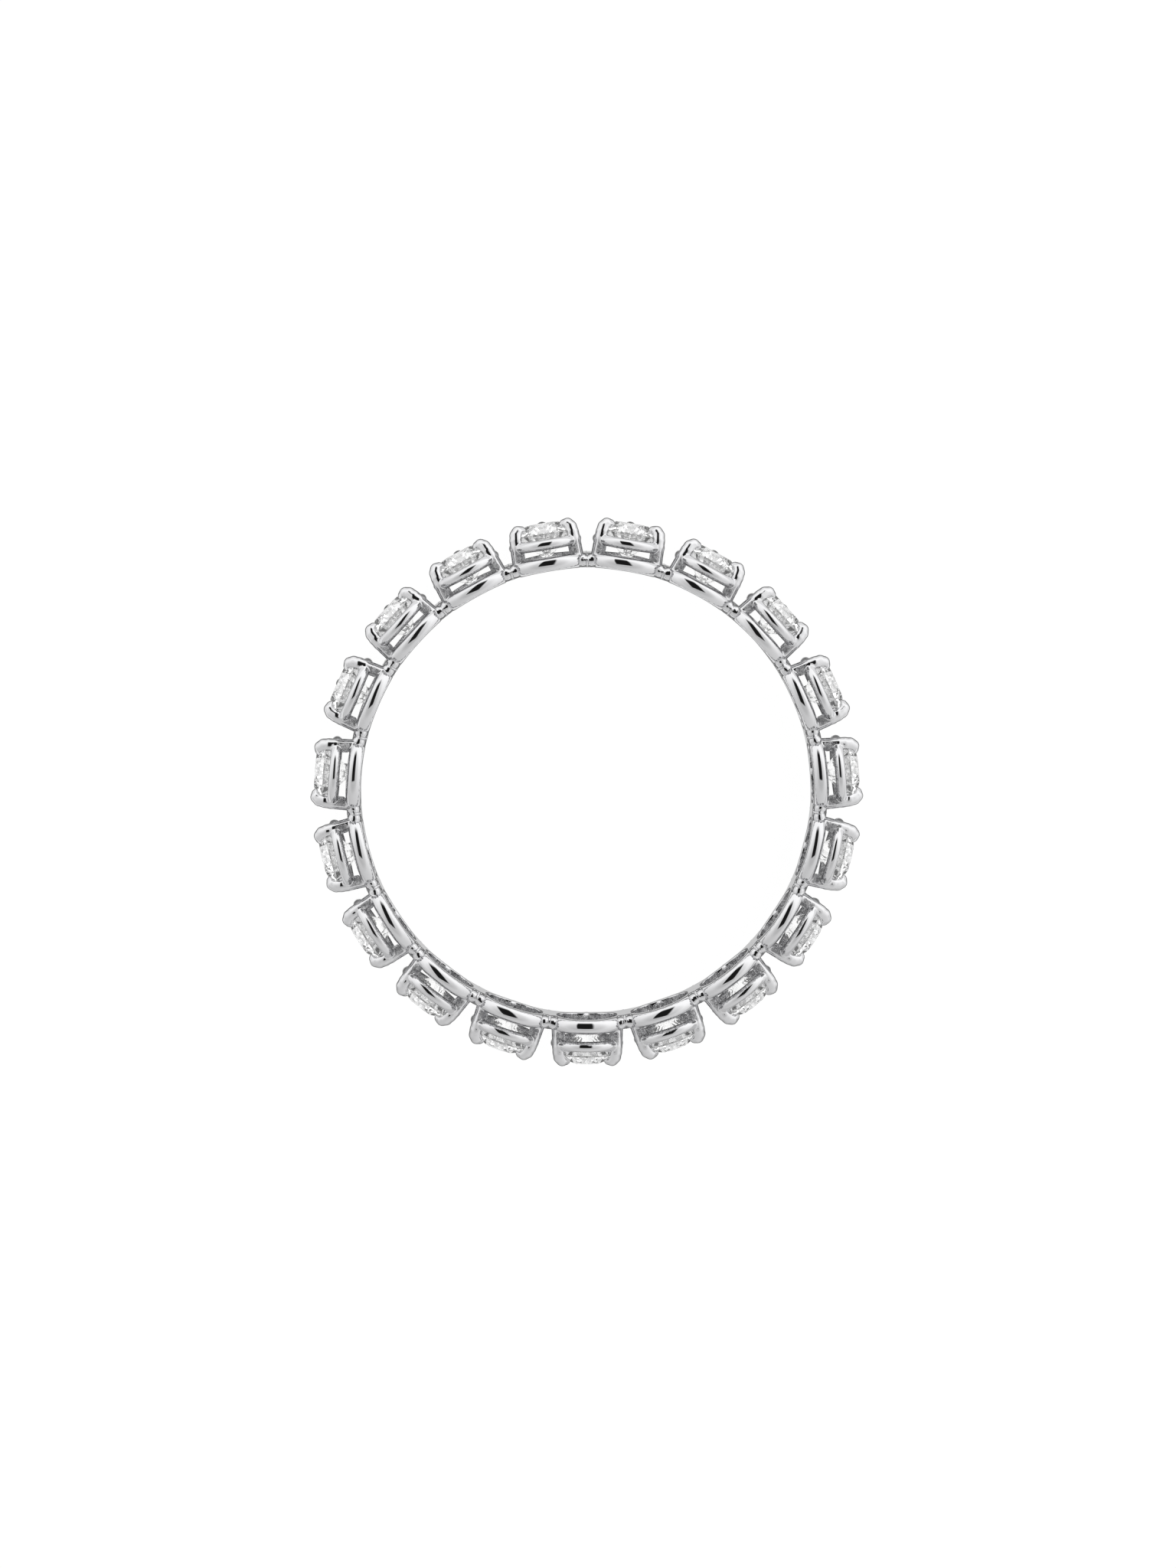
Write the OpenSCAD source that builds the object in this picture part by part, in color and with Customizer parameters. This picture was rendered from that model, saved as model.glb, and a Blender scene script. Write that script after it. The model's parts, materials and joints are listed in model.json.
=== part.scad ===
// Endless finger ring set all round with round brilliants, each in its own basket with three claws.
// The ring's axis is Z and the origin is the centre of the finger bore. The face with two claws
// to each stone looks up, and the stones run anticlockwise from the first one on the -Y side.

/* [Finger bore] */
// Inside diameter of the ring
finger_d = 17.2; // [16:0.1:19]

/* [Stones] */
// Number of stones round the ring
stone_count = 19; // [17:1:20]
// Diameter of a stone at its girdle
stone_d = 2.14; // [2:0.02:2.3]
// Diameter of a stone's table, across its corners
table_d = 1.24; // [1:0.02:1.4]
// Height of the crown, from girdle to table
crown_h = 0.32; // [0.2:0.01:0.4]
// Thickness of the girdle
girdle_t = 0.06; // [0.04:0.01:0.12]
// Depth of the pavilion, from girdle to culet
pavilion_h = 1.04; // [0.85:0.01:1.15]
// Height of the culet above the finger bore
culet_h = 0.34; // [0.2:0.01:0.6]
// Gap left between a stone and the metal that holds it
seat_gap = 0.02; // [0.01:0.005:0.05]

/* [Base loops] */
// How far a basket stands out past its stone's girdle
basket_lip = 0.3; // [0.25:0.01:0.4]
// Thickness of a base loop, from the finger bore outward
base_t = 0.53; // [0.4:0.01:0.7]
// Depth of the narrow step between the bore and a loop's round edge
rim_step = 0.09; // [0.04:0.01:0.15]
// Length of the oval hole under a stone, along the band
hole_l = 2.3; // [2:0.02:2.45]
// Width of the oval hole, across the band
hole_w = 1.8; // [1.5:0.02:1.9]

/* [Links] */
// Width of a link between two loops, across the band
link_w = 1.28; // [0.9:0.02:1.6]
// Thickness of a link, from the finger bore outward
link_t = 0.5; // [0.35:0.01:0.6]
// Width of the ridge across the middle of a link
ridge_l = 0.15; // [0.08:0.01:0.25]
// How far the ridge stands out of the link's two edges
ridge_h = 0.06; // [0.02:0.01:0.1]

/* [Gallery rails] */
// Diameter of the round rail under a stone's girdle
rail_d = 0.37; // [0.3:0.01:0.5]
// Drop from the lower edge of the girdle to the middle of the rail
rail_drop = 0.35; // [0.25:0.01:0.45]

/* [Claws] */
// Diameter of a claw's leg
claw_d = 0.53; // [0.4:0.01:0.6]
// How far round from the front of its basket each front claw stands, in degrees
claw_turn = 64; // [60:1:68]
// How far a claw bites in past the edge of the girdle
claw_bite = 0.15; // [0.08:0.01:0.2]
// How far a claw's leg leans out from girdle to foot
claw_flare = 0.05; // [0:0.01:0.1]
// How much thinner a claw's tip is than its leg
tip_taper = 0.03; // [0.02:0.005:0.08]
// How far the tip bends in over the crown
tip_lean = 0.2; // [0.1:0.01:0.26]
// How far the tip rises above the table
tip_rise = 0.1; // [0.04:0.01:0.2]
// Diameter of the bead at a back claw's foot, seen through the oval hole
foot_bead_d = 0.28; // [0.2:0.01:0.4]

/* [Hidden] */
$fn = 48;
BACK_TURN = 180;
// Star facets reach this share of the way from the table's edge to the girdle
STAR_SHARE = 0.52;
// Lower-girdle facets reach this share of the way from the girdle to the culet
LOWER_SHARE = 0.76;
// Corners of the table, and of each ring of facets below it
EIGHT = 8;
GIRDLE_SIDES = 2 * EIGHT;
OVERRUN = 1;
// How far a loop reaches in past the finger bore before the bore trims it
LINER_ROOT = 0.05;
// How far a link reaches into the loops beside it, in degrees at the ring's axis
LINK_ROOT_TURN = 1;
// Height of the middle of a leg's round foot, as a share of the base's thickness
LEG_FOOT_SHARE = 0.75;
// How much of a foot bead's diameter its middle stands back from the wall of the oval hole
BEAD_BACK_SHARE = 0.25;
// How far a foot bead stays above the finger bore
BEAD_LIFT = 0.04;
// How far under the crest of a loop's round edge the outside of the base is trimmed
OUTSIDE_TRIM = 0.01;
// How far the foot of a claw is trimmed back from the wall of the oval hole
FOOT_MARGIN = 0.01;

bore_r = finger_d / 2;
pitch = 360 / stone_count;
stone_r = stone_d / 2;
basket_r = stone_r + basket_lip;
base_edge_r = base_t / 2;
// How far a loop must reach below its own flat foot to meet the round finger bore
liner_h = bore_r - sqrt(bore_r * bore_r - basket_r * basket_r) + LINER_ROOT;
culet_z = bore_r + culet_h;
girdle_low_z = culet_z + pavilion_h;
girdle_top_z = girdle_low_z + girdle_t;
table_z = girdle_top_z + crown_h;
// Corners of the star facets and of the lower-girdle facets, which stand midway between the table's corners
half_eighth = 180 / EIGHT;
table_r = table_d / 2;
star_r = table_r + STAR_SHARE * (stone_r * cos(half_eighth) - table_r);
star_z = girdle_top_z + crown_h * (stone_r - star_r * cos(half_eighth)) / (stone_r - table_r);
// Where a line from the girdle over the star facets' corners comes to the height of the table
seat_top_r = stone_r - (stone_r - star_r) * crown_h / (star_z - girdle_top_z);
lower_r = stone_r * (1 - LOWER_SHARE);
lower_z = culet_z + pavilion_h * lower_r * cos(half_eighth) / stone_r;
rail_z = girdle_low_z - rail_drop;
rail_ring_r = basket_r - rail_d / 2;
leg_r = claw_d / 2;
tip_r = leg_r - tip_taper;
leg_top_r = stone_r + leg_r - claw_bite;
leg_foot_r = leg_top_r + claw_flare;
leg_foot_z = bore_r + base_t * LEG_FOOT_SHARE;
bead_z = bore_r + foot_bead_d / 2 + BEAD_LIFT;
tip_z = table_z + tip_rise - tip_r;
// The half angle at the ring's axis from a link's middle to its ends, which reach past the oval holes
link_half_turn = pitch / 2 - asin(hole_l / 2 / bore_r) + LINK_ROOT_TURN;
ridge_half_turn = asin(ridge_l / 2 / bore_r);

function stone_name(i) = str("stone_", i < 10 ? "0" : "", i);

// Turns a basket, drawn with its axis along Z and the ring's axis along X, to its place round the ring
module at_basket(i) {
    rotate([0, 0, (i - 1) * pitch - 90]) rotate([0, 90, 0]) rotate([0, 0, 180]) children();
}

// Revolves a bar with round ends about its own axis, from one point to another in the X-Z plane of a claw
module round_bar(r, from, to) {
    reach = [to[0] - from[0], to[1] - from[1]];
    translate([from[0], 0, from[1]]) rotate([0, atan2(reach[0], reach[1]), 0])
        rotate_extrude() intersection() {
            union() {
                circle(r);
                translate([-r, 0]) square([2 * r, norm(reach)]);
                translate([0, norm(reach)]) circle(r);
            }
            translate([0, -r]) square([r, norm(reach) + 2 * r]);
        }
}

// A round loop with a half-round edge, with a thin liner below it that the finger bore trims flush
module base_loop() {
    translate([0, 0, bore_r]) rotate_extrude() {
        square([basket_r - base_edge_r, base_t]);
        translate([basket_r - base_edge_r, base_edge_r]) circle(base_edge_r);
        translate([0, -liner_h]) square([basket_r - rim_step, liner_h + base_edge_r]);
    }
}

module gallery_rail() {
    translate([0, 0, rail_z]) rotate_extrude() translate([rail_ring_r, 0]) circle(rail_d / 2);
}

module claw() {
    round_bar(leg_r, [leg_foot_r, leg_foot_z], [leg_top_r, girdle_low_z]);
    round_bar(tip_r, [leg_top_r, girdle_low_z], [leg_top_r - tip_lean, tip_z]);
}

// Stands on the wall of the oval hole, in line with the back claw
module foot_bead() {
    rotate([0, 0, BACK_TURN])
        translate([hole_w / 2 + foot_bead_d * BEAD_BACK_SHARE, 0, bead_z]) sphere(foot_bead_d / 2);
}

// The space that a stone takes, with its gap all round, open above the table
module stone_seat() {
    rotate_extrude() polygon([
        [0, culet_z - seat_gap],
        [lower_r + seat_gap, lower_z - seat_gap],
        [stone_r + seat_gap, girdle_low_z - seat_gap],
        [stone_r + seat_gap, girdle_top_z + seat_gap],
        [seat_top_r + seat_gap, table_z + seat_gap],
        [seat_top_r + seat_gap, table_z + OVERRUN],
        [0, table_z + OVERRUN],
    ]);
}

// The oval hole under a stone, its long way along the band, made wider all round by a margin
module oval_hole(margin = 0) {
    straight = hole_l - hole_w;
    round_r = hole_w / 2 + margin;
    translate([0, 0, bore_r - 2 * liner_h]) linear_extrude(2 * liner_h + 2 * base_t) {
        translate([-round_r, -straight / 2]) square([2 * round_r, straight]);
        for (side = [-1, 1]) translate([0, side * straight / 2]) circle(round_r);
    }
}

// A stone's rail and claws, with the stone's seat cut in them and their feet kept out of the oval hole
module basket() {
    difference() {
        union() {
            gallery_rail();
            for (turn = [claw_turn, BACK_TURN, -claw_turn]) rotate([0, 0, turn]) claw();
        }
        stone_seat();
        oval_hole(FOOT_MARGIN);
    }
}

// A bar with half-round edges along the ring, from one angle to another
module band_bar(width, thick, half_turn) {
    edge = thick / 2;
    rotate([0, 0, -half_turn]) rotate_extrude(angle = 2 * half_turn) {
        translate([bore_r, edge - width / 2]) square([thick, width - thick]);
        for (side = [-1, 1])
            translate([bore_r + edge, side * (width / 2 - edge)]) circle(edge);
        translate([bore_r - rim_step, rim_step - width / 2]) square([rim_step + edge, width - 2 * rim_step]);
    }
}

module link(i) {
    rotate([0, 0, (i - 0.5) * pitch - 90]) {
        band_bar(link_w, link_t, link_half_turn);
        band_bar(link_w + 2 * ridge_h, link_t, ridge_half_turn);
    }
}

// The space between the finger bore and the round outside of the base
module base_tube() {
    length = 2 * basket_r + 2 * OVERRUN;
    rotate([0, 0, -90]) difference() {
        cylinder(h = length, r = bore_r + base_t - OUTSIDE_TRIM, center = true);
        cylinder(h = length + 2 * OVERRUN, r = bore_r, center = true);
    }
}

module base_ring() {
    difference() {
        intersection() {
            union() {
                for (i = [1:stone_count]) at_basket(i) base_loop();
                for (i = [1:stone_count]) link(i);
            }
            base_tube();
        }
        for (i = [1:stone_count]) at_basket(i) oval_hole();
    }
    for (i = [1:stone_count]) at_basket(i) foot_bead();
}

module setting() {
    color([0.80, 0.81, 0.82]) {
        base_ring();
        for (i = [1:stone_count]) at_basket(i) basket();
    }
}

// Corners of a regular ring of n points about the Z axis
function ring_points(n, r, z, turn = 0) =
    [for (k = [0:n - 1]) [r * cos(turn + k * 360 / n), r * sin(turn + k * 360 / n), z]];

// A round brilliant, its corners ring by ring from the table down
module brilliant() {
    points = concat(
        ring_points(EIGHT, table_r, table_z),
        ring_points(EIGHT, star_r, star_z, half_eighth),
        ring_points(GIRDLE_SIDES, stone_r, girdle_top_z),
        ring_points(GIRDLE_SIDES, stone_r, girdle_low_z),
        ring_points(EIGHT, lower_r, lower_z, half_eighth),
        [[0, 0, culet_z]]
    );
    // The first corner of each ring in the list of points
    star = EIGHT;
    top = star + EIGHT;
    low = top + GIRDLE_SIDES;
    lower = low + GIRDLE_SIDES;
    culet = lower + EIGHT;
    eight = [0:EIGHT - 1];
    faces = concat(
        [[for (k = [EIGHT - 1:-1:0]) k]],
        [for (k = eight) [k, (k + 1) % EIGHT, star + k]],
        [for (k = eight) [star + k, top + 2 * k, star + (k + EIGHT - 1) % EIGHT, k]],
        [for (k = eight) [top + 2 * k, star + k, top + 2 * k + 1]],
        [for (k = eight) [top + 2 * k + 1, star + k, top + (2 * k + 2) % GIRDLE_SIDES]],
        [for (k = [0:GIRDLE_SIDES - 1])
            [top + k, top + (k + 1) % GIRDLE_SIDES, low + (k + 1) % GIRDLE_SIDES, low + k]],
        [for (k = eight) [low + 2 * k, low + 2 * k + 1, lower + k]],
        [for (k = eight) [low + 2 * k + 1, low + (2 * k + 2) % GIRDLE_SIDES, lower + k]],
        [for (k = eight) [lower + k, culet, lower + (k + EIGHT - 1) % EIGHT, low + 2 * k]]
    );
    polyhedron(points, faces);
}

module stone(i) {
    color([0.93, 0.95, 0.97]) at_basket(i) brilliant();
}

setting();
for (i = [1:stone_count]) stone(i);
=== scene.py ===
"""Looks of an eternity ring: one white-gold casting and nineteen brilliants, lying face up."""

import json
import logging
import math
from dataclasses import dataclass
from enum import Enum

import bpy
import numpy as np
from mathutils import Matrix, Vector


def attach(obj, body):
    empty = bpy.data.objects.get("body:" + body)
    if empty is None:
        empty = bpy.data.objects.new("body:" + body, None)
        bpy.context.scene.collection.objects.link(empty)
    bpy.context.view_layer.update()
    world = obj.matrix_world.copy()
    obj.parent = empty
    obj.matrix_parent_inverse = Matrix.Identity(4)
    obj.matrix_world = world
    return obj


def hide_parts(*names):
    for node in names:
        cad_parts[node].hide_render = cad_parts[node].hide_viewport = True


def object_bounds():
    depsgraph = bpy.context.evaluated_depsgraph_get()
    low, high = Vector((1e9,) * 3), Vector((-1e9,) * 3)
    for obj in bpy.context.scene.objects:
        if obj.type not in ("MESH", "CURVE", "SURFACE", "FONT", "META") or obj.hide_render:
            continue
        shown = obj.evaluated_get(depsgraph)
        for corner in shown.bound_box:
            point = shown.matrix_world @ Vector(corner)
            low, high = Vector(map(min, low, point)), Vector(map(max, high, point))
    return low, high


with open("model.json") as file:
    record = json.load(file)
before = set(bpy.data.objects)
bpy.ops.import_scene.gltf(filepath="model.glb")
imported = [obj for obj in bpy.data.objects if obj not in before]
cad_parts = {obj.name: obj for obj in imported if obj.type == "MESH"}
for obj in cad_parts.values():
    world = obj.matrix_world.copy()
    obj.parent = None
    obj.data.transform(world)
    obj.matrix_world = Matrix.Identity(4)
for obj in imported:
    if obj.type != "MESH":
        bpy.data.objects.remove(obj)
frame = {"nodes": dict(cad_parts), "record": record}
CAD_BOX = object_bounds()

LOG = logging.getLogger("ring")
Array = np.ndarray
Colour = tuple[float, float, float]
Limits = tuple[float, float]
Socket = bpy.types.NodeSocket

# One millimetre, in Blender's metres
MM = 0.001
# Size of the photograph, in pixels
PHOTO_W = 1536
PHOTO_H = 2048
# Angle of the first basket round the ring: it hangs at the bottom of the photograph
FIRST_TURN = -math.pi / 2
# Measures of a solid that differ by less than this are taken as one, in millimetres
SAME = 0.001
# Least distance from an axis that is divided by, in millimetres
LEAST_RADIUS = 0.01
# Sockets of a Mix node that mixes colours
MIX_A = 6
MIX_B = 7
MIX_RESULT = 2


def merged(a: Array, b: Array, reach: float) -> Array:
    """Joins two distance fields, with a fillet between them.

    Args:
        a: Distances to the first form, in millimetres.
        b: Distances to the second form.
        reach: How far from the corner the fillet begins.

    Returns:
        Distances to the two forms together.
    """
    near = np.maximum(reach - np.abs(a - b), 0.0) / reach
    return np.minimum(a, b) - near * near * reach / 4


def carved(a: Array, b: Array, reach: float) -> Array:
    """Takes one distance field out of another, with its edges rounded.

    Args:
        a: Distances to the form that stays.
        b: Distances to the form that is taken away.
        reach: How far from the edge the rounding begins.

    Returns:
        Distances to what is left.
    """
    return -merged(-a, b, reach)


def eased(value: Array, low: float, high: float) -> Array:
    """Rises smoothly from 0 to 1.

    Args:
        value: Where to look.
        low: The value up to which the result is 0.
        high: The value from which the result is 1.

    Returns:
        The eased share at each value.
    """
    share = np.clip((value - low) / (high - low), 0.0, 1.0)
    return share * share * (3.0 - 2.0 * share)


@dataclass(frozen=True)
class StoneGauge:
    """The sizes of a brilliant, in millimetres, its heights measured from the ring's axis."""

    girdle_r: float
    table_r: float
    culet_h: float
    girdle_low_h: float
    girdle_top_h: float
    table_h: float

    @classmethod
    def measured(cls, node: str) -> "StoneGauge":
        """Measures the stone that hangs straight down from the ring's axis.

        Args:
            node: Name of the stone's solid.

        Returns:
            The stone's sizes.
        """
        points = np.array([vertex.co for vertex in frame["nodes"][node].data.vertices]) / MM
        height = -points[:, 1]
        radius = np.hypot(points[:, 0], points[:, 2])
        girdle = height[radius > radius.max() - SAME]
        table = height > height.max() - SAME
        return cls(radius.max(), radius[table].max(), height.min(), girdle.min(), girdle.max(), height.max())

    def bulk(self, t: Array, h: Array, z: Array) -> Array:
        """Measures the distance to the stone, as a form turned round its own axis.

        Args:
            t: Place along the band, in millimetres from the stone's axis.
            h: Height above the ring's axis.
            z: Place across the band.

        Returns:
            The distances, below zero inside the stone.
        """
        radius = np.hypot(t, z)
        pavilion_rise = self.girdle_low_h - self.culet_h
        pavilion = radius * pavilion_rise - (h - self.culet_h) * self.girdle_r
        pavilion = pavilion / math.hypot(self.girdle_r, pavilion_rise)
        crown_run = self.girdle_r - self.table_r
        crown_rise = self.table_h - self.girdle_top_h
        crown = (radius - self.girdle_r) * crown_rise + (h - self.girdle_top_h) * crown_run
        crown = crown / math.hypot(crown_run, crown_rise)
        sides = np.maximum(pavilion, crown)
        return np.maximum(sides, np.maximum(radius - self.girdle_r, h - self.table_h))


@dataclass(frozen=True)
class OvalHole:
    """The oval hole under each stone, in millimetres."""

    length: float = 2.3
    width: float = 1.8

    def bulk(self, t: Array, z: Array) -> Array:
        """Measures the distance to the hole's wall in plan.

        Args:
            t: Place along the band from the hole's middle.
            z: Place across the band.

        Returns:
            The distances, below zero inside the hole.
        """
        straight = (self.length - self.width) / 2
        return np.hypot(np.maximum(np.abs(t) - straight, 0.0), z) - self.width / 2


@dataclass(frozen=True)
class BaseBand:
    """The loops round the holes and the links between them, in millimetres.

    Attributes:
        count: How many loops there are.
        bore_r: Radius of the finger hole.
        hole: The hole in each loop.
        loop_half_w: Half of a loop's width.
        loop_half_l: Half of its length along the band.
        loop_front_r: Radius of its two bowed sides.
        loop_corner: Reach of the rounding at its two ends.
        thick: Thickness of the band.
        bore_flat: Factor on heights towards the bore: its edges are steeper there.
        link_front: How far a link reaches to the photographed face.
        link_back: How far it reaches to the back.
        link_slim: How much smaller than a loop's its edge radius is.
        lobe_off: How far the two small rounds on a link lie from its middle.
        lobe_front: How far they lie to the photographed face.
        lobe_r: Their radius.
        rib_r: Radius of the rib between them.
        rib_fade: Height over the band's middle at which it has faded away.
        bead_r: Radius of the foot bead in each hole.
        bead_h: Its height over the bore.
        bead_back: How far it lies behind the hole's wall.
        fillet: Reach of the fillets between these forms.
        soft_edge: Reach of the hole's rounded edge and of the fillet round the bead.
    """

    count: int
    bore_r: float
    hole: OvalHole
    loop_half_w: float = 1.37
    loop_half_l: float = 1.19
    loop_front_r: float = 1.8
    loop_corner: float = 0.06
    thick: float = 0.56
    bore_flat: float = 0.88
    link_front: float = 0.62
    link_back: float = 1.15
    link_slim: float = 0.01
    lobe_off: float = 0.17
    lobe_front: float = 0.54
    lobe_r: float = 0.24
    rib_r: float = 0.05
    rib_fade: float = 0.2
    bead_r: float = 0.15
    bead_h: float = 0.18
    bead_back: float = 0.06
    fillet: float = 0.03
    soft_edge: float = 0.05

    def loop(self, along: Array, z: Array) -> Array:
        """Measures the distance to a loop's bowed sides in plan.

        Args:
            along: Place along the band from the loop's middle.
            z: Place across the band.

        Returns:
            The distances, below zero inside the outline.
        """
        back_off = self.loop_front_r - self.loop_half_w
        return np.hypot(along, np.abs(z) + back_off) - self.loop_front_r

    def link(self, from_rib: Array, above: Array, rise: Array, z: Array) -> Array:
        """Measures the distance to a link with its two small rounds and its rib.

        Args:
            from_rib: Place along the band from the link's middle.
            above: Height over the middle of the band's thickness.
            rise: The same height, shortened on the bore's side.
            z: Place across the band.

        Returns:
            The distances, below zero inside the link.
        """
        middle = (self.link_front - self.link_back) / 2
        plan = np.abs(z - middle) - (self.link_front + self.link_back) / 2
        edge = self.thick / 2 - self.link_slim
        bar = np.hypot(np.maximum(plan + edge, 0.0), rise) - edge
        lobe_along = np.abs(from_rib) - self.lobe_off
        lobe = np.sqrt(lobe_along ** 2 + (z - self.lobe_front) ** 2 + above ** 2) - self.lobe_r
        bar = merged(bar, lobe, self.fillet)
        rib_r = self.rib_r * (1.0 - eased(above, 0.0, self.rib_fade))
        return merged(bar, np.hypot(from_rib, bar) - rib_r, self.fillet)

    def bulk(self, t: Array, h: Array, z: Array) -> Array:
        """Measures the distance to one loop, the links on both sides of it and the loops after them.

        Args:
            t: Place along the band from the basket's axis.
            h: Height above the ring's axis.
            z: Place across the band.

        Returns:
            The distances, below zero inside the metal.
        """
        edge = self.thick / 2
        middle = self.bore_r + edge
        outward = np.hypot(t, h)
        along = np.arctan2(t, h) * middle
        above = outward - middle
        rise = np.where(above < 0, above * self.bore_flat, above)
        half_pitch = math.pi / self.count * middle
        from_loop = half_pitch - np.abs(half_pitch - np.abs(along))

        rounds = np.hypot(np.maximum(self.loop(from_loop, z) + edge, 0.0), rise) - edge
        rounds = carved(rounds, self.loop_half_l - from_loop, self.loop_corner)
        link = self.link(np.abs(along) - half_pitch, above, rise, z)
        solid = carved(merged(rounds, link, self.fillet), outward - self.bore_r, self.fillet)
        solid = carved(solid, self.hole.bulk(t, z), self.soft_edge)
        bead_z = z + self.hole.width / 2 + self.bead_back
        bead = np.sqrt(t * t + bead_z * bead_z + (h - self.bore_r - self.bead_h) ** 2) - self.bead_r
        return merged(solid, bead, self.soft_edge)


@dataclass(frozen=True)
class GalleryRail:
    """The round rail under a stone's girdle, in millimetres."""

    ring_r: float = 1.185
    height: float = 9.615
    wire_r: float = 0.203

    def bulk(self, t: Array, h: Array, z: Array) -> Array:
        """Measures the distance to the rail.

        Args:
            t: Place along the band from the basket's axis.
            h: Height above the ring's axis.
            z: Place across the band.

        Returns:
            The distances, below zero inside the metal.
        """
        return np.hypot(np.hypot(t, z) - self.ring_r, h - self.height) - self.wire_r


class ClawPlace(Enum):
    """Where a claw stands round its basket, in degrees from the photographed face."""

    FRONT_LEFT = -64.0
    FRONT_RIGHT = 64.0
    BACK = 180.0


@dataclass(frozen=True)
class Claw:
    """A claw with a round leg and a tip folded over the crown, in millimetres.

    Attributes:
        place: Where it stands round the basket.
        drop: How much lower its tip lies than the front claws'.
        fanned: Whether its tip turns away from the photographed face.
        fillet: Reach of the fillets between its stretches.
    """

    place: ClawPlace
    drop: float = 0.0
    fanned: bool = True
    fillet: float = 0.03

    def stations(self) -> list[tuple[Vector, float]]:
        """Lists the claw's middle line from foot to tip.

        Returns:
            The place (along the band, height above the ring's axis, across the band) and the radius of
            the claw at each station.
        """
        # Each row: turn from the claw's place in degrees, distance from the basket's axis, height, radius
        line = [
            (0.0, 1.235, 8.86, 0.255),
            (-2.0, 1.225, 9.66, 0.260),
            (-1.0, 1.195, 9.90 - self.drop, 0.258),
            (1.5, 1.140, 10.10 - self.drop, 0.250),
            (2.0, 1.040, 10.215 - self.drop, 0.238),
            (2.5, 0.915, 10.225 - self.drop, 0.205),
        ]
        away = math.copysign(1.0, self.place.value) * self.fanned
        made = []
        for fan, out, height, radius in line:
            turn = math.radians(self.place.value + away * fan)
            made.append((Vector((out * math.sin(turn), height, out * math.cos(turn))), radius))
        return made

    def bulk(self, t: Array, h: Array, z: Array) -> Array:
        """Measures the distance to the claw.

        Args:
            t: Place along the band from the basket's axis.
            h: Height above the ring's axis.
            z: Place across the band.

        Returns:
            The distances, below zero inside the metal.
        """
        stations = self.stations()
        whole = None
        for (low, low_r), (high, high_r) in zip(stations, stations[1:]):
            way = high - low
            gone = [axis - start for axis, start in zip((t, h, z), low)]
            share = sum(part * step for part, step in zip(gone, way)) / way.length_squared
            share = np.clip(share, 0.0, 1.0)
            off = np.sqrt(sum((part - share * step) ** 2 for part, step in zip(gone, way)))
            stretch = off - (low_r + share * (high_r - low_r))
            whole = stretch if whole is None else merged(whole, stretch, self.fillet)
        return whole


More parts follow.
